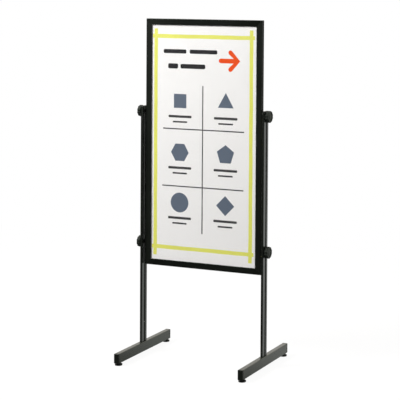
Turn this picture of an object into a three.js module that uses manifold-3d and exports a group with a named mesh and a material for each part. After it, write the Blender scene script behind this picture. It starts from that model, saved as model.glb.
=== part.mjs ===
// A free-standing sign holder: two tube feet, two slotted posts, and a front-opening
// snap frame that slides up and down between the posts on four clamping knobs.
// Millimetres, +Z up, the sign faces -Y, and the origin is on the floor midway between the feet.

import * as THREE from "three";
import { mergeVertices } from "three/addons/utils/BufferGeometryUtils.js";
import Module from "manifold-3d";

const wasm = await Module();
wasm.setup();

// ---------------------------------------------------------------- driving dimensions

const CLEARANCE = 0.3; // gap left between pieces that touch on the real object
const CURVE_SEGMENTS = 2; // gives each quarter-circle corner of an outline four facets

const SHEET = { width: 450, height: 900, overlap: 9 }; // overlap is hidden behind each rail
const RAIL = { width: 23, depth: 16, mitreGap: 0.2 };
const FRAME_FRONT_Y = -7;
const FRAME_BOTTOM_Z = 341.5;

const POST = { thickness: 9, depth: 38, topZ: 938, grooveWidth: 10.4, grooveDepth: 2.6 };
const POST_TO_FRAME_GAP = 6.7;
const SLOT = { width: 6.8, bottomZ: 118, topZ: 926 };

const FOOT = { length: 400, width: 20, height: 36, wall: 1.6, corner: 2.5, bottomZ: 9 };
const CAP_HEAD = 8; // length of an end cap that shows beyond the tube

const ADJUSTER = { padRadius: 13.8, padRim: 4.6, studRadius: 4, stemTop: 31, fromEnd: 18.4 };
const ADJUSTER_NUT = { side: 13, thickness: 6 };
const BOLT = { radius: 3, lowerRise: 83.5, spacing: 495 }; // lowerRise is above the frame's bottom
const KNOB = { radius: 22.5, length: 16, flutes: 10, fluteDepth: 1.5, faceThickness: 3 };
const COLLAR_RADIUS = 7; // of an adjuster's neck and of the spacers beside the posts

// ---------------------------------------------------------------- derived dimensions

const frameWidth = SHEET.width - 2 * SHEET.overlap + 2 * RAIL.width;
const frameHeight = SHEET.height - 2 * SHEET.overlap + 2 * RAIL.width;
const frameMiddleZ = FRAME_BOTTOM_Z + frameHeight / 2;
const postInnerX = frameWidth / 2 + POST_TO_FRAME_GAP;
const postX = postInnerX + POST.thickness / 2;
const footTopZ = FOOT.bottomZ + FOOT.height;
const footMiddleZ = FOOT.bottomZ + FOOT.height / 2;
const adjusterY = FOOT.length / 2 - ADJUSTER.fromEnd;

// The frame's profile is drawn in u (inwards from its outer edge) and v (back from its front face).
const CHANNEL = { middleV: 9.5, halfWidth: 5.3, lip: 1.6, bottomU: 6, mouth: 3.4 };
const BRACKET_CHANNEL = { startU: 9, endU: 20 };
const COVER_FRONT_V = 3.4;
const COVER_THICKNESS = 0.8;
const POSTER_THICKNESS = 0.25;
const BOARD = { thickness: 3, edgeU: 9.9 };
const posterV = COVER_FRONT_V + COVER_THICKNESS + CLEARANCE;
const boardV = posterV + POSTER_THICKNESS + CLEARANCE;
const shelfV = boardV + BOARD.thickness + CLEARANCE;
const shelfBackV = shelfV + 1.4;
const boltY = FRAME_FRONT_Y + CHANNEL.middleV;
const boltZs = { lower: FRAME_BOTTOM_Z + BOLT.lowerRise };
boltZs.upper = boltZs.lower + BOLT.spacing;

// The post's two screw ports, as distances in Y from the post's middle.
const SCREW_PORT_YS = { front: -10.5, rear: 13.4 };
const SCREW = { radius: 2.5, headRadius: 4.4, headHeight: 3, length: 34 };

// ---------------------------------------------------------------- materials

function material(color, roughness, metalness) {
  return new THREE.MeshStandardMaterial({ color, roughness, metalness });
}

const finishes = {
  blackAluminium: () => material(0x24261f, 0.42, 0.8),
  bronzeTube: () => material(0x55584e, 0.38, 0.85),
  blackPlastic: () => material(0x151515, 0.55, 0),
  zincSteel: () => material(0x9a9c9e, 0.35, 0.9),
  springSteel: () => material(0x6d6f72, 0.3, 0.9),
  board: () => material(0xd8d8d4, 0.7, 0),
  poster: () => material(0xf6f6f2, 0.6, 0),
  clearPlastic: () => material(0xe9f0f2, 0.1, 0),
};

// ---------------------------------------------------------------- solid helpers

function toSolid(geometry) {
  const bare = geometry.clone();
  bare.deleteAttribute("normal");
  bare.deleteAttribute("uv");
  const welded = mergeVertices(bare, 1e-4);
  const vertProperties = new Float32Array(welded.attributes.position.array);
  const triVerts = new Uint32Array(welded.index.array);
  return new wasm.Manifold(new wasm.Mesh({ numProp: 3, vertProperties, triVerts }));
}

function fromSolid(solid) {
  const mesh = solid.getMesh();
  const geometry = new THREE.BufferGeometry();
  geometry.setAttribute("position", new THREE.BufferAttribute(mesh.vertProperties, 3));
  geometry.setIndex(new THREE.BufferAttribute(mesh.triVerts, 1));
  geometry.computeVertexNormals();
  return geometry;
}

function subtract(geometry, ...tools) {
  return fromSolid(tools.reduce((solid, tool) => solid.subtract(toSolid(tool)), toSolid(geometry)));
}

function join(geometry, ...others) {
  return fromSolid(others.reduce((solid, other) => solid.add(toSolid(other)), toSolid(geometry)));
}

function intersect(geometry, other) {
  return fromSolid(toSolid(geometry).intersect(toSolid(other)));
}

// A shape drawn in x and y, extruded along +z.
function prism(shape, length, steps = 1) {
  const options = { depth: length, bevelEnabled: false, curveSegments: CURVE_SEGMENTS, steps };
  return new THREE.ExtrudeGeometry(shape, options);
}

function polygon(points) {
  return new THREE.Shape(points.map(([x, y]) => new THREE.Vector2(x, y)));
}

// Points round an arc, both ends included.
function arcPoints(radius, x, y, startAngle, endAngle, facets) {
  return Array.from({ length: facets + 1 }, (_, i) => {
    const angle = startAngle + ((endAngle - startAngle) * i) / facets;
    return [x + radius * Math.cos(angle), y + radius * Math.sin(angle)];
  });
}

// A round hole as a polygon whose flats touch the true circle, so that the hole is never tight.
function roundHole(radius, x = 0, y = 0, sides = 16) {
  const points = arcPoints(radius / Math.cos(Math.PI / sides), x, y, 0, Math.PI * 2, sides);
  return new THREE.Path(points.slice(1).map((p) => new THREE.Vector2(...p)));
}

function rectangleHole(x0, y0, x1, y1) {
  const corners = [[x0, y0], [x1, y0], [x1, y1], [x0, y1]];
  return new THREE.Path(corners.map((p) => new THREE.Vector2(...p)));
}

function roundedRectangle(width, height, radius, Kind = THREE.Shape) {
  const x = width / 2 - radius;
  const y = height / 2 - radius;
  const outline = new Kind();
  outline.moveTo(x, -y - radius);
  outline.absarc(x, -y, radius, -Math.PI / 2, 0, false);
  outline.absarc(x, y, radius, 0, Math.PI / 2, false);
  outline.absarc(-x, y, radius, Math.PI / 2, Math.PI, false);
  outline.absarc(-x, -y, radius, Math.PI, Math.PI * 1.5, false);
  return outline;
}

function cylinder(radius, length, segments = 24) {
  const geometry = new THREE.CylinderGeometry(radius, radius, length, segments);
  return geometry.rotateX(Math.PI / 2).translate(0, 0, length / 2);
}

// A round piece on the z axis with a round hole through it.
function ring(outerRadius, innerRadius, length) {
  const shape = polygon(arcPoints(outerRadius, 0, 0, 0, Math.PI * 2, 24).slice(1));
  shape.holes.push(roundHole(innerRadius));
  return prism(shape, length);
}

function box(width, depth, height, x, y, z) {
  return new THREE.BoxGeometry(width, depth, height).translate(x, y, z);
}

function part(name, geometry, finish) {
  const mesh = new THREE.Mesh(geometry, finishes[finish]());
  mesh.name = name;
  return mesh;
}

function at(object, x, y, z) {
  object.position.set(x, y, z);
  return object;
}

// ---------------------------------------------------------------- feet

// The tube lies along y with its middle at the origin.
function footTube() {
  const section = roundedRectangle(FOOT.width, FOOT.height, FOOT.corner);
  const innerWidth = FOOT.width - 2 * FOOT.wall;
  const innerHeight = FOOT.height - 2 * FOOT.wall;
  section.holes.push(roundedRectangle(innerWidth, innerHeight, FOOT.corner - FOOT.wall, THREE.Path));
  const length = FOOT.length - 2 * (CAP_HEAD + CLEARANCE);
  const tube = prism(section, length).translate(0, 0, -length / 2).rotateX(Math.PI / 2);
  const wallCutter = (radius, y, z) => {
    return cylinder(radius, 4 * FOOT.wall, 16).translate(0, y, z - 2 * FOOT.wall);
  };
  const top = FOOT.height / 2 - FOOT.wall / 2;
  const bottom = -top;
  const studHole = ADJUSTER.studRadius + 2 * CLEARANCE;
  const headHole = SCREW.headRadius + 4 * CLEARANCE;
  const studHoles = [-adjusterY, adjusterY].map((y) => wallCutter(studHole, y, bottom));
  const screwHoles = Object.values(SCREW_PORT_YS).flatMap((y) => [
    wallCutter(SCREW.radius + CLEARANCE, y, top),
    wallCutter(headHole, y, bottom),
  ]);
  return subtract(tube, ...studHoles, ...screwHoles);
}

// The head of an end cap: a straight stretch, then three steps round a quarter circle.
function roundedCapHead() {
  const roundOver = 2;
  const steps = 4;
  const head = prism(roundedRectangle(FOOT.width, FOOT.height, FOOT.corner), CAP_HEAD, steps);
  const position = head.attributes.position;
  for (let i = 0; i < position.count; i += 1) {
    const step = Math.round((position.getZ(i) / CAP_HEAD) * steps);
    const angle = (Math.max(0, step - 1) / (steps - 1)) * (Math.PI / 2);
    const inset = roundOver * (1 - Math.cos(angle));
    const height = CAP_HEAD - roundOver * (1 - Math.sin(angle));
    position.setX(i, position.getX(i) * (1 - (2 * inset) / FOOT.width));
    position.setY(i, position.getY(i) * (1 - (2 * inset) / FOOT.height));
    position.setZ(i, step === 0 ? 0 : height);
  }
  return head;
}

// An end cap with its joint face at z = 0, its head towards +z and a hollow plug towards -z.
function footCap() {
  const plugDepth = 3.5;
  const plugWall = 2;
  const overlap = 1;
  const width = FOOT.width - 2 * (FOOT.wall + CLEARANCE);
  const height = FOOT.height - 2 * (FOOT.wall + CLEARANCE);
  const plug = roundedRectangle(width, height, FOOT.corner - FOOT.wall);
  const hollowX = width / 2 - plugWall;
  const hollowY = height / 2 - plugWall;
  plug.holes.push(rectangleHole(-hollowX, -hollowY, hollowX, hollowY));
  return join(roundedCapHead(), prism(plug, plugDepth + overlap).translate(0, 0, -plugDepth));
}

// A levelling glide standing on z = 0, with its threaded stem pointing up.
function adjuster() {
  const { padRadius, padRim, studRadius, stemTop } = ADJUSTER;
  const chamfer = 1;
  const slope = 1.6;
  const domeTop = padRim + slope + 0.6;
  const collarTop = FOOT.bottomZ - CLEARANCE;
  const profile = [
    [0, 0], [padRadius - chamfer, 0], [padRadius, chamfer], [padRadius, padRim],
    [padRadius - slope, padRim + slope], [COLLAR_RADIUS, domeTop], [COLLAR_RADIUS, collarTop],
    [studRadius, collarTop], [studRadius, stemTop - chamfer], [studRadius - chamfer, stemTop],
    [0, stemTop],
  ];
  const points = profile.map(([x, y]) => new THREE.Vector2(x, y));
  return new THREE.LatheGeometry(points, 24).rotateX(Math.PI / 2);
}

function squareNut(side, thickness, boreRadius) {
  const half = side / 2;
  const shape = polygon([[-half, -half], [half, -half], [half, half], [-half, half]]);
  shape.holes.push(roundHole(boreRadius));
  return prism(shape, thickness);
}

// A pan-head screw pointing up, with the underside of its head at z = 0 and a hex recess below.
function postScrew() {
  const shank = cylinder(SCREW.radius, SCREW.length, 16);
  const head = cylinder(SCREW.headRadius, SCREW.headHeight, 20).translate(0, 0, -SCREW.headHeight);
  const overlap = 0.1;
  const recessDepth = 1.5;
  const recess = cylinder(2, recessDepth + overlap, 6).translate(0, 0, -SCREW.headHeight - overlap);
  return subtract(join(head, shank.translate(0, 0, -overlap)), recess);
}

function buildFoot(side, x) {
  const group = new THREE.Group();
  group.add(at(part(`${side}_foot_tube`, footTube(), "bronzeTube"), 0, 0, footMiddleZ));
  for (const [end, direction] of [["front", -1], ["rear", 1]]) {
    const cap = part(`${side}_${end}_end_cap`, footCap(), "blackPlastic");
    cap.rotation.x = (-direction * Math.PI) / 2;
    group.add(at(cap, 0, direction * (FOOT.length / 2 - CAP_HEAD), footMiddleZ));
    const y = direction * adjusterY;
    group.add(at(part(`${side}_${end}_adjuster`, adjuster(), "blackPlastic"), 0, y, 0));
    const nut = squareNut(ADJUSTER_NUT.side, ADJUSTER_NUT.thickness, ADJUSTER.studRadius + CLEARANCE);
    const nutZ = FOOT.bottomZ + FOOT.wall + CLEARANCE;
    group.add(at(part(`${side}_${end}_adjuster_nut`, nut, "zincSteel"), 0, y, nutZ));
  }
  for (const [end, y] of Object.entries(SCREW_PORT_YS)) {
    const screw = part(`${side}_post_${end}_screw`, postScrew(), "zincSteel");
    group.add(at(screw, 0, y, footTopZ - FOOT.wall - CLEARANCE));
  }
  return at(group, x, 0, 0);
}

// ---------------------------------------------------------------- posts

// Hollow chambers run up the post on both sides of its front screw port.
const chamberHalfX = 3;
const chamberYs = [[-17.4, -14.6], [-6.4, -4.4]];
const postEdge = 0.8; // chamfer along the post's corners

// The post's section: x across its thickness, y from front to back, with a clamping groove in
// each wide face, two screw ports and two hollow chambers.
function postSection() {
  const x = POST.thickness / 2;
  const y = POST.depth / 2;
  const g0 = boltY - POST.grooveWidth / 2;
  const g1 = boltY + POST.grooveWidth / 2;
  const floor = x - POST.grooveDepth;
  const outline = [
    [x - postEdge, -y], [x, -y + postEdge], [x, g0], [floor, g0], [floor, g1], [x, g1],
    [x, y - postEdge], [x - postEdge, y],
  ];
  const mirrored = outline.map(([px, py]) => [-px, py]).reverse();
  const shape = polygon([...outline, ...mirrored]);
  for (const portY of Object.values(SCREW_PORT_YS)) {
    shape.holes.push(roundHole(SCREW.radius + CLEARANCE, 0, portY));
  }
  for (const [y0, y1] of chamberYs) {
    shape.holes.push(rectangleHole(-chamberHalfX, y0, chamberHalfX, y1));
  }
  return shape;
}

// The through slot is narrower than the groove and stops short of both ends of the post.
function slottedPost() {
  const bottom = footTopZ + CLEARANCE;
  const blank = prism(postSection(), POST.topZ - bottom).translate(0, 0, bottom);
  const slotShape = roundedRectangle(SLOT.topZ - SLOT.bottomZ, SLOT.width, SLOT.width / 2 - 0.01);
  const slot = prism(slotShape, POST.thickness * 2).translate(0, 0, -POST.thickness);
  slot.rotateY(-Math.PI / 2).translate(0, boltY, (SLOT.topZ + SLOT.bottomZ) / 2);
  return subtract(blank, slot);
}

// A cap for the post's open top, with two plugs that reach down into its chambers.
function postCap() {
  const plateThickness = 2;
  const plugLength = 6.5;
  const overlap = 0.5;
  const plate = prism(roundedRectangle(POST.thickness, POST.depth, postEdge), plateThickness);
  const plugs = chamberYs.map(([y0, y1]) => {
    const width = 2 * (chamberHalfX - CLEARANCE);
    const depth = y1 - y0 - 2 * CLEARANCE;
    return box(width, depth, plugLength + overlap, 0, (y0 + y1) / 2, (overlap - plugLength) / 2);
  });
  return join(plate, ...plugs);
}

function buildPost(side, x) {
  const group = new THREE.Group();
  group.add(part(`${side}_post`, slottedPost(), "blackAluminium"));
  const cap = part(`${side}_post_cap`, postCap(), "blackPlastic");
  group.add(at(cap, 0, 0, POST.topZ + CLEARANCE));
  return at(group, x, 0, 0);
}

// ---------------------------------------------------------------- sign frame

// Extrudes a profile in (u, v) along s and slopes both ends at 45 degrees for a mitred corner.
function mitred(profile, length) {
  const geometry = prism(profile, 1);
  const position = geometry.attributes.position;
  for (let i = 0; i < position.count; i += 1) {
    const inset = position.getX(i) + RAIL.mitreGap;
    position.setZ(i, position.getZ(i) < 0.5 ? inset : length - inset);
  }
  return geometry;
}

// The fixed rail: a channel for the clamping nuts in its outer face, a step that holds the
// backing board, a lip that keeps the snap rail in place, and a channel behind for the corners.
function baseRail(length) {
  const front = 2.9;
  const lip = { start: 2.95, end: 4.2, top: 1.7 };
  const bodyEnd = 9.6;
  const shelfEnd = 21.5;
  const back = RAIL.depth;
  const { startU, endU } = BRACKET_CHANNEL;
  const c0 = CHANNEL.middleV - CHANNEL.halfWidth;
  const c1 = CHANNEL.middleV + CHANNEL.halfWidth;
  const m0 = CHANNEL.middleV - CHANNEL.mouth;
  const m1 = CHANNEL.middleV + CHANNEL.mouth;
  const profile = polygon([
    [0, front], [lip.start, front], [lip.start, lip.top], [lip.end, lip.top], [lip.end, front],
    [bodyEnd, front], [bodyEnd, shelfV], [shelfEnd, shelfV], [shelfEnd, back], [endU, back],
    [endU, shelfBackV], [startU, shelfBackV], [startU, back], [0, back],
    [0, m1], [CHANNEL.lip, m1], [CHANNEL.lip, c1], [CHANNEL.bottomU, c1],
    [CHANNEL.bottomU, c0], [CHANNEL.lip, c0], [CHANNEL.lip, m0], [0, m0],
  ]);
  return mitred(profile, length);
}

const hingeBead = 1.3; // radius of the snap rail's rolled outer edge, centred on its hinge axis

// The snap rail: a thin front plate with a rolled outer edge that it turns on, and an inner lip
// that presses on the cover sheet. The roll is cut back at both ends so that rails can open together.
function snapRail(length) {
  const lipV = COVER_FRONT_V - CLEARANCE;
  const lipU = RAIL.width - hingeBead;
  const chamfer = 0.6;
  const profile = polygon([
    [RAIL.width - chamfer, 0], [RAIL.width, chamfer], [RAIL.width, lipV], [lipU, lipV],
    [lipU, hingeBead], ...arcPoints(hingeBead, hingeBead, hingeBead, 0, Math.PI * 1.5, 9),
  ]);
  const relief = { length: 3.2, endU: 2.9, startV: 0.5 };
  const overlap = 1;
  const cutters = [relief.length, length + overlap].map((end) => {
    const start = end - relief.length - overlap;
    const size = [relief.endU + overlap, lipV + overlap - relief.startV, end - start];
    const middle = [size[0] / 2 - overlap, relief.startV + size[1] / 2, (start + end) / 2];
    return box(...size, ...middle);
  });
  return subtract(mitred(profile, length), ...cutters);
}

// A bowed leaf spring that lies in the space under the snap rail and pushes it open or shut.
function leafSpring() {
  const length = 44;
  const width = 4.4;
  const bow = 0.55;
  const thickness = 0.4;
  const innerU = 9.2;
  const endV = 2.6;
  const steps = 8;
  const upper = [];
  const lower = [];
  for (let i = 0; i <= steps; i += 1) {
    const t = i / steps;
    const v = endV - bow * Math.sin(Math.PI * t);
    lower.push([t * length, v]);
    upper.unshift([t * length, v - thickness]);
  }
  const strip = prism(polygon([...lower, ...upper]), width);
  // Drawn in (s, v) and extruded in u, then turned so that s runs along z.
  return strip.translate(-length / 2, 0, 0).rotateY(-Math.PI / 2).translate(innerU, 0, 0);
}

// An L-shaped corner bracket, pressed into the channels behind two rails.
function cornerBracket() {
  const inner = BRACKET_CHANNEL.startU + CLEARANCE;
  const outer = BRACKET_CHANNEL.endU - CLEARANCE;
  const middle = (inner + outer) / 2;
  const arm = 70;
  const thickness = 2;
  const screwHoleRadius = 1.8;
  const shape = polygon([
    [inner, inner], [arm, inner], [arm, outer], [outer, outer], [outer, arm], [inner, arm],
  ]);
  for (const along of [34, 58]) {
    shape.holes.push(roundHole(screwHoleRadius, along, middle));
    shape.holes.push(roundHole(screwHoleRadius, middle, along));
  }
  const plate = prism(shape, thickness);
  // Drawn in (u, s) and extruded in v.
  return plate.rotateX(Math.PI / 2).translate(0, shelfBackV + CLEARANCE + thickness, 0);
}

const frameSides = [
  { name: "left", length: frameHeight, turn: 0, x: -1, z: -1, springs: [0.27, 0.73] },
  { name: "top", length: frameWidth, turn: Math.PI / 2, x: -1, z: 1, springs: [0.5] },
  { name: "right", length: frameHeight, turn: Math.PI, x: 1, z: 1, springs: [0.27, 0.73] },
  { name: "bottom", length: frameWidth, turn: -Math.PI / 2, x: 1, z: -1, springs: [0.5] },
];

// Each side of the frame starts at one corner and is the same design turned about y.
function buildFrameSide(side) {
  const group = new THREE.Group();
  group.rotation.y = side.turn;
  group.add(part(`frame_${side.name}_rail`, baseRail(side.length), "blackAluminium"));
  group.add(part(`snap_${side.name}_rail`, snapRail(side.length), "blackAluminium"));
  group.add(part(`frame_${side.name}_corner_bracket`, cornerBracket(), "zincSteel"));
  side.springs.forEach((share, index) => {
    const name = side.springs.length > 1 ? `${side.name}_spring_${index + 1}` : `${side.name}_spring`;
    group.add(at(part(name, leafSpring(), "springSteel"), 0, 0, share * side.length));
  });
  const cornerX = (side.x * frameWidth) / 2;
  const cornerZ = frameMiddleZ + (side.z * frameHeight) / 2;
  return at(group, cornerX, FRAME_FRONT_Y, cornerZ);
}

function sheetAt(name, width, height, thickness, frontV, finish) {
  const y = FRAME_FRONT_Y + frontV + thickness / 2;
  return part(name, box(width, thickness, height, 0, y, frameMiddleZ), finish);
}

function buildSheets() {
  const group = new THREE.Group();
  const { width, height } = SHEET;
  const boardWidth = frameWidth - 2 * BOARD.edgeU;
  const boardHeight = frameHeight - 2 * BOARD.edgeU;
  group.add(sheetAt("cover_sheet", width, height, COVER_THICKNESS, COVER_FRONT_V, "clearPlastic"));
  group.add(sheetAt("poster_sheet", width, height, POSTER_THICKNESS, posterV, "poster"));
  group.add(sheetAt("backing_board", boardWidth, boardHeight, BOARD.thickness, boardV, "board"));
  return group;
}

// ---------------------------------------------------------------- clamping knobs

// The knob's turned shape, along +z from the face that bears on the post.
function knobTurning() {
  const { radius, length, faceThickness } = KNOB;
  const bore = BOLT.radius + CLEARANCE;
  const boreEnd = length - faceThickness;
  const boss = { radius: 13, height: 2.4 };
  const hub = { radius: 9.5, end: length - 0.4 };
  const dish = { radius: radius - 7.5, floor: length - 1.6 };
  const chamfer = 2;
  const profile = [
    [bore, 0], [boss.radius, 0], [boss.radius, boss.height], [radius - 1.5, boss.height],
    [radius, boss.height + 1.6], [radius, length - chamfer], [radius - chamfer, length],
    [dish.radius + 1.5, length], [dish.radius, dish.floor], [hub.radius, dish.floor],
    [hub.radius - 1, hub.end], [0, hub.end], [0, boreEnd], [bore, boreEnd], [bore, 0],
  ];
  const points = profile.map(([x, y]) => new THREE.Vector2(x, y));
  return new THREE.LatheGeometry(points, 24).rotateX(Math.PI / 2);
}

// A scalloped outline: its radius dips in a round finger hollow between each pair of lobes.
function fluteOutline() {
  const pointsPerFlute = 4;
  const count = KNOB.flutes * pointsPerFlute;
  const outline = [];
  for (let i = 0; i < count; i += 1) {
    const angle = (i / count) * Math.PI * 2;
    const wave = Math.pow(Math.abs(Math.cos((KNOB.flutes * angle) / 2)), 3);
    const radius = KNOB.radius - KNOB.fluteDepth * wave;
    outline.push([radius * Math.cos(angle), radius * Math.sin(angle)]);
  }
  return polygon(outline);
}

function knob() {
  const flutes = prism(fluteOutline(), KNOB.length + 2).translate(0, 0, -1);
  return intersect(knobTurning(), flutes);
}

// One clamp, built along +x: nut in the frame's channel, spacer, post, then the knob on its stud.
function buildClamp(level, side, direction) {
  const group = new THREE.Group();
  const name = `${side}_${level}`;
  const frameFace = frameWidth / 2;
  const knobFace = postInnerX + POST.thickness + CLEARANCE;
  const bore = BOLT.radius + CLEARANCE;
  const along = (geometry, x) => geometry.rotateY(Math.PI / 2).translate(x, 0, 0);
  const nutX = frameFace - CHANNEL.bottomU + CLEARANCE;
  const nutThickness = CHANNEL.bottomU - CHANNEL.lip - 2 * CLEARANCE;
  const nutSide = 2 * (CHANNEL.halfWidth - CLEARANCE);
  const nut = along(squareNut(nutSide, nutThickness, bore), nutX);
  group.add(part(`${name}_channel_nut`, nut, "zincSteel"));
  const spacerLength = POST_TO_FRAME_GAP - 2 * CLEARANCE;
  const spacer = along(ring(COLLAR_RADIUS, bore, spacerLength), frameFace + CLEARANCE);
  group.add(part(`${name}_spacer`, spacer, "blackPlastic"));
  const studEnd = knobFace + KNOB.length - KNOB.faceThickness - CLEARANCE;
  const stud = along(cylinder(BOLT.radius, studEnd - nutX, 18), nutX);
  group.add(part(`${name}_knob_stud`, stud, "zincSteel"));
  group.add(part(`${name}_knob`, along(knob(), knobFace), "blackPlastic"));
  group.rotation.z = direction > 0 ? 0 : Math.PI;
  return at(group, 0, boltY, boltZs[level]);
}

// ---------------------------------------------------------------- assembly

const signStand = new THREE.Group();
for (const [side, direction] of [["left", -1], ["right", 1]]) {
  signStand.add(buildFoot(side, direction * postX));
  signStand.add(buildPost(side, direction * postX));
  signStand.add(buildClamp("upper", side, direction));
  signStand.add(buildClamp("lower", side, direction));
}
frameSides.forEach((side) => signStand.add(buildFrameSide(side)));
signStand.add(buildSheets());

export default signStand;
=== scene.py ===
# A free-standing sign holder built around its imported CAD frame. The metal sections, sheets and
# fittings keep their CAD shapes and get their finishes here. The knobs, the feet's end caps, the
# levelling glides and the print on the sign are modelled in full. Metres, +Z up, sign facing -Y.

import math

import bmesh
import bpy
from mathutils import Euler, Matrix, Vector


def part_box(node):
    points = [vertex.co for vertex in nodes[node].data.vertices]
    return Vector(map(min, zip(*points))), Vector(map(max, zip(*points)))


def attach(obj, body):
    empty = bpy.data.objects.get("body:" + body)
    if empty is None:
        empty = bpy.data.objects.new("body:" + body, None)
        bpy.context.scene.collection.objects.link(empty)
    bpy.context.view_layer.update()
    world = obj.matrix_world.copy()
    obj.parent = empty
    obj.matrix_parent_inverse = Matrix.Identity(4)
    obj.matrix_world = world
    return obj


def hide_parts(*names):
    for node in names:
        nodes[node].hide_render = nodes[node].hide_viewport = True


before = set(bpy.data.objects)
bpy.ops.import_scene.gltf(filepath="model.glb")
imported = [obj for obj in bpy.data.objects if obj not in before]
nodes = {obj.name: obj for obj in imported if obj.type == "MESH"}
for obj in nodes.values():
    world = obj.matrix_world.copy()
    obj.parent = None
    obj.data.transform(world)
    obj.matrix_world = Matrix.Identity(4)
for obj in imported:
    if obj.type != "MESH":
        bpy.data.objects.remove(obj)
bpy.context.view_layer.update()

MM = 0.001
SIDES = ("left", "right")
LEVELS = ("upper", "lower")
ENDS = ("front", "rear")
FRAME_SIDES = ("left", "top", "right", "bottom")

# How bright the studio is for everything but the camera, where the backdrop is 1.
FRONT_DIM = 0.12  # in front of the sign
FAR_DIM = 0.45  # along the backdrop's level band
HIGH_BRIGHT = 1.45  # above that band
MATT_SHARE = 0.7  # what matt surfaces get of it
FLOOR_NEAR, FLOOR_FAR = 0.9, 1.1  # the floor's glow beside the feet and out beyond them
FLOOR_GLOW = 0.92  # the share of the floor's white that is glow, which no shadow reaches


# ---------------------------------------------------------------- node graph helpers


class Graph:
    """A material's node tree, with short calls for the nodes used here."""

    def __init__(self, name):
        self.material = bpy.data.materials.new(name)
        self.material.use_nodes = True
        self.tree = self.material.node_tree
        self.tree.nodes.clear()

    def add(self, kind, inputs=None, **settings):
        node = self.tree.nodes.new(kind)
        for key, value in settings.items():
            setattr(node, key, value)
        for key, value in (inputs or {}).items():
            self.feed(node, key, value)
        return node

    def feed(self, node, key, value):
        """Links a socket to a node's input, or sets the input to a plain value."""
        if isinstance(value, bpy.types.NodeSocket):
            self.tree.links.new(value, node.inputs[key])
        else:
            node.inputs[key].default_value = value

    def place(self, per_metre=(1, 1, 1), offset=(0, 0, 0)):
        """The object's own coordinates, scaled so that one unit is one repeat of a pattern."""
        coords = self.add("ShaderNodeTexCoord").outputs["Object"]
        inputs = {"Vector": coords, "Scale": per_metre, "Location": offset}
        return self.add("ShaderNodeMapping", inputs).outputs["Vector"]

    def noise(self, per_metre, detail=2.0, roughness=0.5, offset=(0, 0, 0)):
        inputs = {
            "Vector": self.place(per_metre, offset),
            "Scale": 1.0,
            "Detail": detail,
            "Roughness": roughness,
        }
        return self.add("ShaderNodeTexNoise", inputs).outputs["Fac"]

    def span(self, value, low, high, to_low=0.0, to_high=1.0):
        """Maps low..high smoothly to to_low..to_high."""
        inputs = {"Value": value, 1: low, 2: high, 3: to_low, 4: to_high}
        node = self.add("ShaderNodeMapRange", inputs, interpolation_type="SMOOTHSTEP")
        return node.outputs["Result"]

    def maths(self, operation, a, b):
        return self.add("ShaderNodeMath", {0: a, 1: b}, operation=operation).outputs[0]

    def mix(self, share, first, second):
        """Blends two colours. Inputs 6 and 7 and output 2 are the node's colour sockets."""
        node = self.add("ShaderNodeMix", data_type="RGBA")
        for socket, value in ((0, share), (6, first), (7, second)):
            self.feed(node, socket, value)
        return node.outputs[2]

    def soft_normal(self, radius):
        """The surface normal with every edge rounded over this radius."""
        return self.add("ShaderNodeBevel", {"Radius": radius}, samples=6).outputs["Normal"]

    def edges(self, soft_normal, start=0.03, full=0.3):
        """1 on sharp edges and 0 on flat faces."""
        true = self.add("ShaderNodeNewGeometry").outputs["True Normal"]
        dot = self.add("ShaderNodeVectorMath", {0: soft_normal, 1: true}, operation="DOT_PRODUCT")
        return self.span(self.maths("SUBTRACT", 1.0, dot.outputs["Value"]), start, full)

    def bump(self, height, distance, normal=None, strength=1.0):
        inputs = {"Height": height, "Distance": distance, "Strength": strength}
        if normal is not None:
            inputs["Normal"] = normal
        return self.add("ShaderNodeBump", inputs).outputs["Normal"]

    def surface(self, shader):
        self.add("ShaderNodeOutputMaterial", {"Surface": shader})
        return self.material


def srgb(red, green, blue):
    """A colour given in screen values from 0 to 255."""
    def linear(value):
        share = value / 255
        return share / 12.92 if share <= 0.04045 else ((share + 0.055) / 1.055) ** 2.4

    return (linear(red), linear(green), linear(blue), 1.0)


def scaled(colour, share):
    return (colour[0] * share, colour[1] * share, colour[2] * share, 1.0)


# ---------------------------------------------------------------- materials

# A pattern is stretched along an extruded section: repeats per metre across it and along it.
FINE_ACROSS = 2400
FINE_ALONG = 14
GREEN_SHEEN = (0.93, 1.0, 0.91, 1)  # the black finishes reflect a little green
LOW_SHINE = 1.33  # refractive index that keeps faces seen head-on dark


def along_axis(axis, along, across):
    return tuple(along if axis == name else across for name in "xyz")


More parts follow.
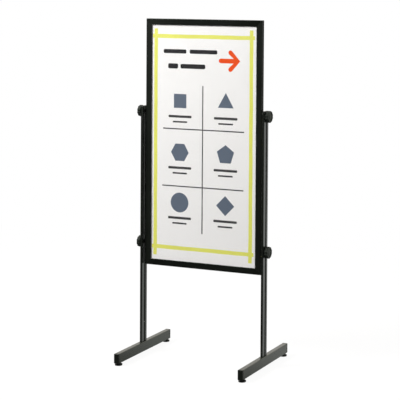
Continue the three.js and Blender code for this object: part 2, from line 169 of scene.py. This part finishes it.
def anodised(name, colour, axis, roughness, ior=LOW_SHINE, edge=0.5 * MM):
    """A dark anodised section: fine die lines along its length, slow tone changes, worn edges."""
    graph = Graph(name)
    lines = graph.noise(along_axis(axis, FINE_ALONG, FINE_ACROSS), detail=3)
    clouds = graph.noise((7, 7, 7), detail=3)
    specks = graph.noise((900, 900, 900), detail=1, offset=(3, 1, 7))
    normal = graph.soft_normal(edge)
    worn = graph.maths("MULTIPLY", graph.edges(normal), graph.span(specks, 0.42, 0.7))
    base = graph.mix(graph.span(clouds, 0.3, 0.7), scaled(colour, 0.82), scaled(colour, 1.2))
    base = graph.mix(graph.maths("MULTIPLY", lines, 0.35), base, scaled(colour, 1.5))
    base = graph.mix(graph.maths("MULTIPLY", worn, 0.35), base, srgb(150, 150, 142))
    rough = graph.span(lines, 0.25, 0.75, roughness - 0.05, roughness + 0.07)
    rough = graph.maths("ADD", rough, graph.span(clouds, 0.3, 0.7, -0.02, 0.04))
    relief = graph.maths("ADD", lines, graph.maths("MULTIPLY", specks, 0.4))
    shader = graph.add("ShaderNodeBsdfPrincipled", {
        "Base Color": base,
        "IOR": ior,
        "Roughness": rough,
        "Specular Tint": GREEN_SHEEN,
        "Normal": graph.bump(relief, 0.02 * MM, normal, strength=0.5),
    })
    return graph.surface(shader.outputs["BSDF"])


def moulded(name, colour, roughness, grain_per_metre=1600, edge=0.4 * MM):
    """Black moulding: a fine spark-eroded grain, faint flow marks and slightly polished edges."""
    graph = Graph(name)
    size = (grain_per_metre,) * 3
    grain = graph.noise(size, detail=2, roughness=0.6)
    flow = graph.noise((45, 45, 45), detail=2, offset=(5, 2, 1))
    normal = graph.soft_normal(edge)
    polished = graph.edges(normal)
    base = graph.mix(graph.span(flow, 0.3, 0.7), scaled(colour, 0.8), scaled(colour, 1.25))
    base = graph.mix(graph.maths("MULTIPLY", polished, 0.4), base, scaled(colour, 3))
    rough = graph.span(grain, 0.3, 0.7, roughness - 0.06, roughness + 0.08)
    rough = graph.maths("SUBTRACT", rough, graph.maths("MULTIPLY", polished, 0.12))
    shader = graph.add("ShaderNodeBsdfPrincipled", {
        "Base Color": base,
        "IOR": LOW_SHINE,
        "Roughness": rough,
        "Specular Tint": GREEN_SHEEN,
        "Normal": graph.bump(grain, 0.03 * MM, normal, strength=0.5),
    })
    return graph.surface(shader.outputs["BSDF"])


def plated(name, colour, roughness, grain=(1800, 1800, 240)):
    """Bright metal with a drawn grain, faint blotches from plating and brighter edges."""
    graph = Graph(name)
    lines = graph.noise(grain, detail=3)
    blotches = graph.noise((110, 110, 110), detail=3, offset=(2, 8, 4))
    normal = graph.soft_normal(0.3 * MM)
    base = graph.mix(graph.span(blotches, 0.35, 0.7), scaled(colour, 0.75), colour)
    base = graph.mix(graph.maths("MULTIPLY", graph.edges(normal), 0.6), base, srgb(236, 236, 232))
    shader = graph.add("ShaderNodeBsdfPrincipled", {
        "Base Color": base,
        "Metallic": 1.0,
        "Roughness": graph.span(lines, 0.25, 0.75, roughness - 0.06, roughness + 0.1),
        "Normal": graph.bump(lines, 0.015 * MM, normal, strength=0.5),
    })
    return graph.surface(shader.outputs["BSDF"])


def foam_board(name):
    """Rigid foam sheet: off-white skin with a fine orange-peel texture and slightly grey edges."""
    graph = Graph(name)
    skin = graph.noise((700, 700, 700), detail=3)
    clouds = graph.noise((5, 5, 5), detail=3)
    normal = graph.soft_normal(0.4 * MM)
    base = graph.mix(graph.span(clouds, 0.3, 0.7), srgb(228, 228, 224), srgb(233, 233, 229))
    base = graph.mix(graph.maths("MULTIPLY", graph.edges(normal), 0.5), base, srgb(190, 190, 186))
    shader = graph.add("ShaderNodeBsdfPrincipled", {
        "Base Color": base,
        "Roughness": graph.span(skin, 0.3, 0.7, 0.5, 0.62),
        "Normal": graph.bump(skin, 0.06 * MM, normal, strength=0.5),
    })
    return graph.surface(shader.outputs["BSDF"])


def printed(name, colour, wander=0.05):
    """Ink on coated paper: the paper's fibre shows faintly in its tone, sheen and surface."""
    graph = Graph(name)
    fibre = graph.noise((900, 900, 260), detail=4, roughness=0.65)
    wash = graph.noise((11, 11, 11), detail=2, offset=(1, 6, 2))
    tone = graph.mix(graph.span(wash, 0.3, 0.7), scaled(colour, 1 - wander), colour)
    tone = graph.mix(graph.maths("MULTIPLY", fibre, wander), tone, scaled(colour, 0.8))
    shader = graph.add("ShaderNodeBsdfPrincipled", {
        "Base Color": tone,
        "Roughness": graph.span(fibre, 0.3, 0.7, 0.55, 0.68),
        "Specular IOR Level": 0.25,
        "Normal": graph.bump(fibre, 0.01 * MM, strength=0.4),
    })
    return graph.surface(shader.outputs["BSDF"])


def clear_sheet(name):
    """Thin clear plastic: it lets nearly everything through and mirrors a little at a slant."""
    graph = Graph(name)
    haze = graph.noise((26, 26, 26), detail=3)
    matt = graph.noise((1500, 1500, 1500), detail=1)
    glass = graph.mix(graph.span(haze, 0.3, 0.7), (0.990, 0.987, 0.985, 1), (0.995, 0.992, 0.990, 1))
    clear = graph.add("ShaderNodeBsdfTransparent", {"Color": glass})
    gloss = graph.add("ShaderNodeBsdfGlossy", {
        "Color": (1, 1, 1, 1),
        "Roughness": graph.span(haze, 0.3, 0.7, 0.2, 0.3),
        "Normal": graph.bump(matt, 0.01 * MM, strength=0.3),
    })
    fresnel = graph.add("ShaderNodeFresnel", {"IOR": 1.3}).outputs[0]
    # Only faces met from outside mirror: met from inside, they would throw slanting light back.
    inside = graph.add("ShaderNodeNewGeometry").outputs["Backfacing"]
    mirror = graph.maths("MULTIPLY", fresnel, graph.maths("SUBTRACT", 1.0, inside))
    mixed = graph.add("ShaderNodeMixShader", {
        0: mirror, 1: clear.outputs[0], 2: gloss.outputs[0],
    })
    return graph.surface(mixed.outputs[0])


def pale_floor(name):
    """A pale, softly glowing studio floor that turns into the white backdrop with distance. Only
    the camera sees it all white: to everything else it is dim in front of the sign, so that black
    faces turned that way stay black."""
    graph = Graph(name)
    clouds = graph.noise((0.7, 0.7, 0.7), detail=2)
    matt = graph.add("ShaderNodeBsdfPrincipled", {
        "Base Color": graph.mix(clouds, srgb(243, 243, 242), srgb(247, 247, 246)),
        "Roughness": graph.span(clouds, 0.3, 0.7, 0.6, 0.7),
        "Specular IOR Level": 0.2,
    })
    place = graph.place()
    length = graph.add("ShaderNodeVectorMath", {0: place}, operation="LENGTH").outputs["Value"]
    white = graph.add("ShaderNodeEmission", {"Strength": 1.0})
    floor = graph.add("ShaderNodeMixShader", {
        0: graph.span(length, 0.8, 3.0, FLOOR_GLOW, 1.0), 1: matt.outputs[0], 2: white.outputs[0],
    })
    behind = graph.add("ShaderNodeSeparateXYZ", {0: place}).outputs["Y"]
    near = graph.span(length, 0.6, 2.5, FLOOR_NEAR, FLOOR_FAR)
    glow = graph.maths("MULTIPLY", near, graph.span(behind, -0.5, 0.3, FRONT_DIM, 1.0))
    bounce = graph.add("ShaderNodeEmission", {"Strength": glow})
    seen = graph.add("ShaderNodeLightPath").outputs["Is Camera Ray"]
    mixed = graph.add("ShaderNodeMixShader", {0: seen, 1: bounce.outputs[0], 2: floor.outputs[0]})
    return graph.surface(mixed.outputs[0])


FRAME_BLACK = srgb(13, 16, 12)
POST_BLACK = srgb(12, 15, 11)
FOOT_BRONZE = srgb(31, 35, 28)
PLASTIC_BLACK = srgb(13, 13, 13)
CAP_GREEN = srgb(15, 20, 14)

frame_upright = anodised("frame_black_upright", FRAME_BLACK, "z", 0.32)
frame_level = anodised("frame_black_level", FRAME_BLACK, "x", 0.2)
post_finish = anodised("post_black", POST_BLACK, "z", 0.22, ior=1.5)
foot_finish = anodised("foot_bronze", FOOT_BRONZE, "y", 0.3, ior=1.4, edge=1.1 * MM)
plastic = moulded("black_moulding", PLASTIC_BLACK, 0.42)
cap_plastic = moulded("cap_moulding", scaled(CAP_GREEN, 0.6), 0.4)
glide_plastic = moulded("glide_moulding", scaled(PLASTIC_BLACK, 0.4), 0.45)
knob_plastic = moulded("knob_moulding", CAP_GREEN, 0.6, grain_per_metre=1200)
zinc = plated("zinc_plate", srgb(188, 190, 192), 0.3)
spring_steel = plated("spring_steel", srgb(150, 152, 156), 0.26, grain=(240, 1800, 1800))
board = foam_board("foam_board")
paper = printed("sheet_white", srgb(247, 247, 246), wander=0.006)
cover = clear_sheet("clear_cover")


# ---------------------------------------------------------------- finishes of the CAD parts


def paint(node, material):
    """Gives a CAD part its finish through its object's material slots."""
    for slot in nodes[node].material_slots:
        slot.link = "OBJECT"
        slot.material = material


for side in FRAME_SIDES:
    rail_finish = frame_upright if side in SIDES else frame_level
    paint(f"frame_{side}_rail", rail_finish)
    paint(f"snap_{side}_rail", rail_finish)
    paint(f"frame_{side}_corner_bracket", zinc)

for side in SIDES:
    paint(f"{side}_foot_tube", foot_finish)
    paint(f"{side}_post", post_finish)
    paint(f"{side}_post_cap", plastic)
    for end in ENDS:
        paint(f"{side}_{end}_adjuster_nut", zinc)
        paint(f"{side}_post_{end}_screw", zinc)
    for level in LEVELS:
        paint(f"{side}_{level}_knob_stud", zinc)
        paint(f"{side}_{level}_channel_nut", zinc)
        paint(f"{side}_{level}_spacer", plastic)
    for number in (1, 2):
        paint(f"{side}_spring_{number}", spring_steel)

paint("top_spring", spring_steel)
paint("bottom_spring", spring_steel)
paint("cover_sheet", cover)
paint("poster_sheet", paper)
paint("backing_board", board)


# ---------------------------------------------------------------- mesh helpers


def new_piece(name, mesh, material, body, smooth_below=None):
    """Makes an object that moves with a CAD body, shaded smooth below an angle in degrees."""
    piece = bpy.data.objects.new(name, mesh)
    bpy.context.scene.collection.objects.link(piece)
    mesh.materials.append(material)
    if smooth_below is not None:
        mesh.shade_smooth()
        mesh.set_sharp_from_angle(angle=math.radians(smooth_below))
    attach(piece, body)
    return piece


def skin(name, rows, turn=Matrix.Identity(4)):
    """A closed mesh through rings of equally many points. The first and last rings are capped."""
    work = bmesh.new()
    rings = [[work.verts.new(turn @ Vector(point)) for point in row] for row in rows]
    for lower, upper in zip(rings, rings[1:]):
        for i in range(len(lower)):
            j = (i + 1) % len(lower)
            work.faces.new((lower[i], lower[j], upper[j], upper[i]))
    work.faces.new(list(reversed(rings[0])))
    work.faces.new(rings[-1])
    bmesh.ops.recalc_face_normals(work, faces=work.faces)
    mesh = bpy.data.meshes.new(name)
    work.to_mesh(mesh)
    work.free()
    return mesh


def arc(centre, radius, start, end, steps):
    """Points round an arc in degrees, both ends included."""
    points = []
    for i in range(steps + 1):
        angle = math.radians(start + (end - start) * i / steps)
        points.append((centre[0] + radius * math.cos(angle), centre[1] + radius * math.sin(angle)))
    return points


# ---------------------------------------------------------------- clamping knobs

KNOB_FLUTES = 10
KNOB_AROUND = 160
FLUTE_DEPTH = 1.5


def knob_profile(radius, length):
    """(radius, height) from the boss that bears on the post to the middle of the face, in mm."""
    fillet = 1.8
    rim_inner = radius - 5.5
    dish = length - 1.8
    return [
        (3.4, 0.0), (12.2, 0.0), (13.0, 0.4), (13.0, 2.2),
        (radius - 2.6, 2.4),
        *arc((radius - fillet, 2.6 + fillet), fillet, -80, 0, 4),
        *arc((radius - fillet, length - fillet), fillet, 0, 80, 5),
        (radius - 3.4, length), (rim_inner, length),
        *arc((rim_inner, length - 0.8), 0.8, 100, 170, 3),
        (rim_inner - 1.4, dish), (10.4, dish), (9.9, dish + 0.3),
        (9.5, length - 0.9), (9.0, length - 0.5), (8.2, length - 0.4),
        (6.0, length - 0.5), (3.0, length - 0.9), (0.6, length - 1.0),
    ]


def flute(angle, radius, full_radius):
    """How far a finger hollow cuts in at this angle, in mm, fading out towards the middle."""
    wave = abs(math.cos(KNOB_FLUTES * angle / 2)) ** 3
    share = max(0.0, min(1.0, (radius - 0.62 * full_radius) / (0.3 * full_radius)))
    return FLUTE_DEPTH * wave * share


def knob_rows(radius, length):
    rows = []
    for r, height in knob_profile(radius, length):
        row = []
        for i in range(KNOB_AROUND):
            angle = math.tau * i / KNOB_AROUND
            reach = r - flute(angle, r, radius)
            row.append((height * MM, reach * math.cos(angle) * MM, reach * math.sin(angle) * MM))
        rows.append(row)
    return rows


def build_knob(side, level):
    node = f"{side}_{level}_knob"
    low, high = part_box(node)
    centre = (low + high) / 2
    radius = (high.z - low.z) / 2 / MM
    length = (high.x - low.x) / MM
    outward = 1 if centre.x > 0 else -1
    start = low.x if outward > 0 else high.x
    place = Matrix.Translation((start, centre.y, centre.z)) @ Matrix.Diagonal((outward, 1, 1, 1))
    mesh = skin(f"{node}_moulding", knob_rows(radius, length), place)
    piece = new_piece(f"{node}_moulding", mesh, knob_plastic, node, 40)
    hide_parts(node)


for side in SIDES:
    for level in LEVELS:
        build_knob(side, level)


# ---------------------------------------------------------------- end caps of the feet

CAP_PLUG = 3.5 * MM  # how far the plug reaches into the tube
CAP_ROUND = 2.2 * MM  # radius round the head's outer edge
TUBE_CORNER = 2.5 * MM
PLUG_INSET = 1.9 * MM  # the tube's wall and the gap inside it


def rounded_loop(half_width, half_height, corner, steps=6):
    """Points round a rounded rectangle centred on the origin."""
    corner = max(0.1 * MM, min(corner, half_width, half_height))
    x, y = half_width - corner, half_height - corner
    loop = []
    for cx, cy, start in ((x, -y, -90), (x, y, 0), (-x, y, 90), (-x, -y, 180)):
        loop += arc((cx, cy), corner, start, start + 90, steps)
    return loop


def build_end_cap(side, end):
    """A plug pressed into the tube, a thin shoulder line and a rounded head."""
    node = f"{side}_{end}_end_cap"
    low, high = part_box(node)
    outward = -1 if end == "front" else 1
    half_width = (high.x - low.x) / 2
    half_height = (high.z - low.z) / 2
    joint = (high.y - CAP_PLUG) if end == "front" else (low.y + CAP_PLUG)
    tip = low.y if end == "front" else high.y
    head = abs(tip - joint)
    stations = [(-CAP_PLUG, PLUG_INSET + 0.5 * MM), (-CAP_PLUG + 0.8 * MM, PLUG_INSET)]
    stations += [(0.0, PLUG_INSET), (0.0, 0.35 * MM), (0.35 * MM, 0.0)]
    for along, rise in arc((head - CAP_ROUND, 0.0), CAP_ROUND, 90, 0, 8):
        stations.append((along, CAP_ROUND - rise))
    rows = []
    for along, inset in stations:
        corner = TUBE_CORNER - min(inset, TUBE_CORNER - 0.4 * MM)
        loop = rounded_loop(half_width - inset, half_height - inset, corner)
        rows.append([(x, outward * along, z) for x, z in loop])
    centre = (low + high) / 2
    place = Matrix.Translation((centre.x, joint, centre.z))
    mesh = skin(f"{node}_moulding", rows, place)
    piece = new_piece(f"{node}_moulding", mesh, cap_plastic, "stand", 35)
    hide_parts(node)


for side in SIDES:
    for end in ENDS:
        build_end_cap(side, end)


# ---------------------------------------------------------------- levelling glides

GLIDE_AROUND = 64
STEM_RADIUS = 4.0
THREAD_PITCH = 1.25
THREAD_DEPTH = 0.62
THREAD_STEPS = 6  # rings in one pitch


def glide_pad_profile(radius):
    """(radius, height) in mm, from the middle of the underside up to the collar's top."""
    collar = 7.0
    return [
        (1.0, 0.4), (radius - 3.5, 0.4), (radius - 3.0, 0.0), (radius - 1.2, 0.0),
        *arc((radius - 1.2, 1.2), 1.2, -80, 0, 4),
        (radius, 4.4),
        *arc((radius - 1.2, 4.4), 1.2, 10, 80, 4),
        (collar + 1.2, 6.1), (collar + 0.3, 6.4), (collar, 6.9), (collar, 8.2), (collar - 0.4, 8.7),
    ]


def glide_rows(radius, top):
    """Rings of (radius, height) in mm. On the stem the radius follows the thread as it turns."""
    rows = []
    collar_top = glide_pad_profile(radius)[-1][1]
    for r, height in glide_pad_profile(radius):
        rows.append([(r, height)] * GLIDE_AROUND)
    rows.append([(STEM_RADIUS - THREAD_DEPTH, collar_top)] * GLIDE_AROUND)
    steps = int((top - 1.2 - collar_top) / THREAD_PITCH * THREAD_STEPS)
    for k in range(1, steps + 1):
        height = collar_top + k * THREAD_PITCH / THREAD_STEPS
        row = []
        for i in range(GLIDE_AROUND):
            turn = (height / THREAD_PITCH - i / GLIDE_AROUND) % 1.0
            crest = 1 - abs(2 * turn - 1)
            row.append((STEM_RADIUS - THREAD_DEPTH * (1 - crest), height))
        rows.append(row)
    rows.append([(STEM_RADIUS - THREAD_DEPTH, top - 0.9)] * GLIDE_AROUND)
    rows.append([(STEM_RADIUS - 1.2, top)] * GLIDE_AROUND)
    return rows


def build_glide(side, end):
    node = f"{side}_{end}_adjuster"
    low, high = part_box(node)
    centre = (low + high) / 2
    radius = (high.x - low.x) / 2 / MM
    rows = []
    for row in glide_rows(radius, (high.z - low.z) / MM):
        ring = []
        for i, (r, height) in enumerate(row):
            angle = math.tau * i / GLIDE_AROUND
            ring.append((r * math.cos(angle) * MM, r * math.sin(angle) * MM, height * MM))
        rows.append(ring)
    mesh = skin(f"{node}_moulding", rows, Matrix.Translation((centre.x, centre.y, low.z)))
    piece = new_piece(f"{node}_moulding", mesh, glide_plastic, node, 35)
    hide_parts(node)


for side in SIDES:
    for end in ENDS:
        build_glide(side, end)


# ---------------------------------------------------------------- the print on the sign

sheet_low, sheet_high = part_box("poster_sheet")
SHEET_MIDDLE_Z = (sheet_low.z + sheet_high.z) / 2
PRINT_FRONT_Y = sheet_low.y - 0.04 * MM
PRINT_DEPTH = 0.08 * MM
PRINT_LAYER = 0.02 * MM  # one print over another stands this much further forward

INKS = {
    "lime": srgb(233, 235, 112),
    "orange": srgb(238, 80, 4),
    "dark": srgb(26, 26, 28),
    "grey": srgb(66, 66, 67),
    "slate": srgb(98, 110, 126),
}
ink_materials = {name: printed(f"ink_{name}", colour) for name, colour in INKS.items()}


def print_shape(name, ink, outline, layer=0):
    """Fills a closed outline given in mm from the sheet's middle."""
    curve = bpy.data.curves.new(name, "CURVE")
    curve.dimensions = "2D"
    curve.fill_mode = "BOTH"
    curve.extrude = PRINT_DEPTH / 2
    spline = curve.splines.new("POLY")
    spline.points.add(len(outline) - 1)
    for point, (x, z) in zip(spline.points, outline):
        point.co = (x * MM, z * MM, 0, 1)
    spline.use_cyclic_u = True
    drawn = bpy.data.objects.new(name, curve)
    mesh = bpy.data.meshes.new_from_object(drawn)
    bpy.data.objects.remove(drawn)
    y = PRINT_FRONT_Y + PRINT_DEPTH / 2 - layer * PRINT_LAYER
    place = Matrix.Translation((0, y, SHEET_MIDDLE_Z))
    mesh.transform(place @ Matrix.Rotation(math.pi / 2, 4, "X"))
    mesh.name = name
    new_piece(name, mesh, ink_materials[ink], "sign_panel")


def bar(x0, z0, x1, z1, corner):
    """A rounded rectangle between two opposite corners."""
    middle_x, middle_z = (x0 + x1) / 2, (z0 + z1) / 2
    loop = rounded_loop(abs(x1 - x0) / 2 * MM, abs(z1 - z0) / 2 * MM, corner * MM, steps=4)
    return [(middle_x + x / MM, middle_z + z / MM) for x, z in loop]


def regular(x, z, radius, corners, turn):
    """A shape of equal sides that stands on one of them, then is turned by some degrees."""
    first = math.radians(turn - 90 + 180 / corners)
    angles = [first + math.tau * i / corners for i in range(corners)]
    return [(x + radius * math.cos(a), z + radius * math.sin(a)) for a in angles]


def round_end(at, behind, width):
    """The half circle at a line's end, facing away from the point behind it."""
    angle = math.degrees(math.atan2(at[1] - behind[1], at[0] - behind[0]))
    return arc(at, width / 2, angle + 90, angle - 90, 8)[1:-1]


def stroke(points, width):
    """A line of this width along a path, with round ends."""
    left, right = [], []
    for i, (x, z) in enumerate(points):
        ax, az = points[max(i - 1, 0)]
        bx, bz = points[min(i + 1, len(points) - 1)]
        length = math.hypot(bx - ax, bz - az)
        nx, nz = -(bz - az) / length, (bx - ax) / length
        left.append((x + nx * width / 2, z + nz * width / 2))
        right.append((x - nx * width / 2, z - nz * width / 2))
    end = round_end(points[-1], points[-2], width)
    start = round_end(points[0], points[1], width)
    return left + end + right[::-1] + start


def brushed_strip(start, end, width, sway):
    """A hand-laid strip: straight, with edges that wander a little."""
    (x0, z0), (x1, z1) = start, end
    length = math.hypot(x1 - x0, z1 - z0)
    ux, uz = (x1 - x0) / length, (z1 - z0) / length
    count = 48
    edges = []
    for side in (1, -1):
        edge = []
        for i in range(count + 1):
            along = length * i / count
            wave = math.sin(along / 37 + side) + 0.6 * math.sin(along / 11 + 2 * side + sway)
            half = width / 2 + 0.022 * width * wave
            edge.append((
                x0 + ux * along - side * uz * half,
                z0 + uz * along + side * ux * half,
            ))
        edges.append(edge)
    return edges[0] + edges[1][::-1]


def draw_border():
    left, right, top, bottom = -199.5, 194.5, 399, -393
    ends = {"low": -425, "high": 427, "left": -213, "right": 208}
    strips = {
        "print_border_left": ((left, ends["low"]), (left, ends["high"])),
        "print_border_right": ((right, ends["low"]), (right, ends["high"])),
        "print_border_top": ((ends["left"], top), (ends["right"], top)),
        "print_border_bottom": ((ends["left"], bottom), (ends["right"], bottom)),
    }
    for number, (name, (start, end)) in enumerate(strips.items()):
        print_shape(name, "lime", brushed_strip(start, end, 14.5, number), number // 2)


def draw_dividers():
    lines = {
        "print_divider_upright": ((-2.6, 217), (-2.6, -333)),
        "print_divider_upper": ((-168, 53.5), (167, 53.5)),
        "print_divider_lower": ((-171, -161), (166, -161)),
    }
    for number, (name, (start, end)) in enumerate(lines.items()):
        print_shape(name, "grey", brushed_strip(start, end, 4.4, number), min(number, 1))


def draw_arrow():
    """A plain round-ended arrow to the right."""
    tip, middle, half, width = 141, 312.5, 31, 17
    shaft = stroke([(71, middle), (tip - 4, middle)], width)
    print_shape("print_arrow_shaft", "orange", shaft)
    head = stroke([(tip - half, middle + half), (tip, middle), (tip - half, middle - half)], width)
    print_shape("print_arrow_head", "orange", head, 1)


# Plain bars stand where the title has words: (left, right, middle height, bar height).
TITLE_BARS = {
    "title_one_a": (-167, -72, 343, 15),
    "title_one_b": (-58, 56, 343, 15),
    "title_two_a": (-148, -106, 288, 19),
    "title_two_b": (-96, 7, 288, 17),
}


def draw_title():
    for name, (x0, x1, middle, height) in TITLE_BARS.items():
        shape = bar(x0, middle - height / 2, x1, middle + height / 2, corner=height * 0.3)
        print_shape(f"print_{name}", "dark", shape)


# Each field holds one plain shape, given by its corners and its turn, over two plain bars.
DISC = 72  # corners enough to look round
FIELD_COLUMNS = {"left": -97, "right": 92}
FIELD_ROWS = {"upper": 158, "middle": -34, "lower": -222}
FIELD_SHAPES = {
    ("left", "upper"): (4, 0),
    ("right", "upper"): (3, 0),
    ("left", "middle"): (6, 0),
    ("right", "middle"): (5, 0),
    ("left", "lower"): (DISC, 0),
    ("right", "lower"): (4, 45),
}
SHAPE_RADIUS = 37
FIELD_BARS = {"long": (-58, 96, 9), "short": (-78, 60, 6)}  # drop, width and depth


def draw_fields():
    for (column, row), (corners, turn) in FIELD_SHAPES.items():
        x, z = FIELD_COLUMNS[column], FIELD_ROWS[row]
        shape = regular(x, z, SHAPE_RADIUS, corners, turn)
        print_shape(f"print_{column}_{row}_shape", "slate", shape)
        for name, (drop, width, depth) in FIELD_BARS.items():
            low, high = z + drop - depth / 2, z + drop + depth / 2
            line = bar(x - width / 2, low, x + width / 2, high, corner=depth * 0.3)
            print_shape(f"print_{column}_{row}_{name}_bar", "grey", line)


draw_border()
draw_dividers()
draw_arrow()
draw_title()
draw_fields()


# ---------------------------------------------------------------- floor, light and camera

FLOOR_RADIUS = 14.0


def build_floor():
    points = [(x, y, 0) for x, y in arc((0, 0), FLOOR_RADIUS, 0, 360, 96)[:-1]]
    mesh = bpy.data.meshes.new("floor")
    mesh.from_pydata(points, [], [list(range(len(points)))])
    mesh.materials.append(pale_floor("floor_pale"))
    floor = bpy.data.objects.new("floor", mesh)
    bpy.context.scene.collection.objects.link(floor)


def build_world():
    """White behind the object and dim in front of it, as in a studio with a white backdrop. The
    level band of the backdrop is dim as well, and matt surfaces get less of the light than glossy
    ones, so that dark faces shine at a slant while the back of the sign stays evenly lit."""
    world = bpy.data.worlds.new("studio")
    world.use_nodes = True
    tree = world.node_tree
    tree.nodes.clear()

    def add(kind, links, values=None, **settings):
        node = tree.nodes.new(kind)
        for key, value in settings.items():
            setattr(node, key, value)
        for key, socket in links.items():
            tree.links.new(socket, node.inputs[key])
        for key, value in (values or {}).items():
            node.inputs[key].default_value = value
        return node

    def fade(value, low, high, to_low, to_high):
        values = {1: low, 2: high, 3: to_low, 4: to_high}
        node = add("ShaderNodeMapRange", {0: value}, values, interpolation_type="SMOOTHSTEP")
        return node.outputs[0]

    def times(a, b):
        return add("ShaderNodeMath", {0: a, 1: b}, operation="MULTIPLY").outputs[0]

    direction = add("ShaderNodeTexCoord", {}).outputs["Generated"]
    split = add("ShaderNodeSeparateXYZ", {0: direction})
    rays = add("ShaderNodeLightPath", {})
    strength = times(
        fade(split.outputs["Y"], -0.5, 0.25, FRONT_DIM, 1.0),
        fade(split.outputs["Z"], 0.02, 0.17, FAR_DIM, HIGH_BRIGHT),
    )
    strength = times(strength, fade(rays.outputs["Is Diffuse Ray"], 0.0, 1.0, 1.0, MATT_SHARE))
    studio = add("ShaderNodeBackground", {"Strength": strength}, {"Color": (1.0, 0.95, 0.9, 1)})
    backdrop = add("ShaderNodeBackground", {}, {"Color": (1, 1, 1, 1)})
    mixed = add("ShaderNodeMixShader", {
        0: rays.outputs["Is Camera Ray"], 1: studio.outputs[0], 2: backdrop.outputs[0],
    })
    add("ShaderNodeOutputWorld", {"Surface": mixed.outputs[0]})
    bpy.context.scene.world = world


def soft_light(name, location, target, size, watts):
    data = bpy.data.lights.new(name, "AREA")
    data.shape = "RECTANGLE"
    data.size, data.size_y = size
    data.energy = watts
    lamp = bpy.data.objects.new(name, data)
    lamp.location = location
    lamp.rotation_euler = (Vector(target) - Vector(location)).to_track_quat("-Z", "Y").to_euler()
    bpy.context.scene.collection.objects.link(lamp)


# The camera stands at the reader's right, a little above the sign's top, and looks almost level:
# a lens shift, not a tilt, brings the whole stand into the picture.
CAMERA = {
    "location": (2.234, -4.419, 1.389),
    "azimuth": 22.93,
    "pitch": 1.635,
    "roll": 0.464,
    "sensor_mm": 36,
    "lens_mm": 120.4,
    "shift": {"shift_x": -0.2376, "shift_y": -0.4353},
}


def build_camera():
    data = bpy.data.cameras.new("camera")
    data.sensor_width = CAMERA["sensor_mm"]
    data.lens = CAMERA["lens_mm"]
    data.clip_start, data.clip_end = 0.05, 200
    camera = bpy.data.objects.new("camera", data)
    bpy.context.scene.collection.objects.link(camera)
    camera.location = CAMERA["location"]
    turn = Euler((0, 0, math.radians(CAMERA["azimuth"]))).to_matrix()
    tilt = Euler((math.radians(90 - CAMERA["pitch"]), 0, 0)).to_matrix()
    roll = Euler((0, 0, math.radians(CAMERA["roll"]))).to_matrix()
    camera.rotation_euler = (turn @ tilt @ roll).to_euler()
    bpy.context.scene.camera = camera
    # The shift belongs to this one standpoint: moved anywhere else, the camera looks straight on.
    for channel, amount in CAMERA["shift"].items():
        driver = data.driver_add(channel).driver
        place = driver.variables.new()
        place.name = "x"
        place.type = "TRANSFORMS"
        place.targets[0].id = camera
        place.targets[0].transform_type = "LOC_X"
        home = CAMERA["location"][0]
        driver.expression = f"{amount} if abs(x - {home}) < 0.001 else 0.0"


# Each light: its place, the point it faces, its width and height, and its watts. The dim card
# shows only as a soft glow on the upper left of the frame, and the side lights on the side faces.
LIGHTS = {
    "key": ((-2.1, -2.2, 2.9), (0, 0, 0.9), (1.3, 1.1), 161),
    "fill": ((3.6, -3.0, 1.6), (0, 0, 0.7), (2.0, 2.0), 46),
    "top": ((0.3, 0.8, 4.2), (0, 0, 0.4), (3.0, 3.0), 20),
    "card": ((-2.0, -2.6, 1.25), (0, 0, 1.2), (0.7, 0.8), 1.8),
    "left_side": ((-4.0, 0.6, 0.9), (0, 0, 0.7), (1.8, 2.6), 42),
    "right_side": ((4.0, 0.6, 0.9), (0, 0, 0.7), (1.8, 2.6), 42),
}

build_floor()
build_world()
for name, (location, target, size, watts) in LIGHTS.items():
    soft_light(name, location, target, size, watts)
build_camera()
bpy.context.scene.view_settings.view_transform = "Standard"
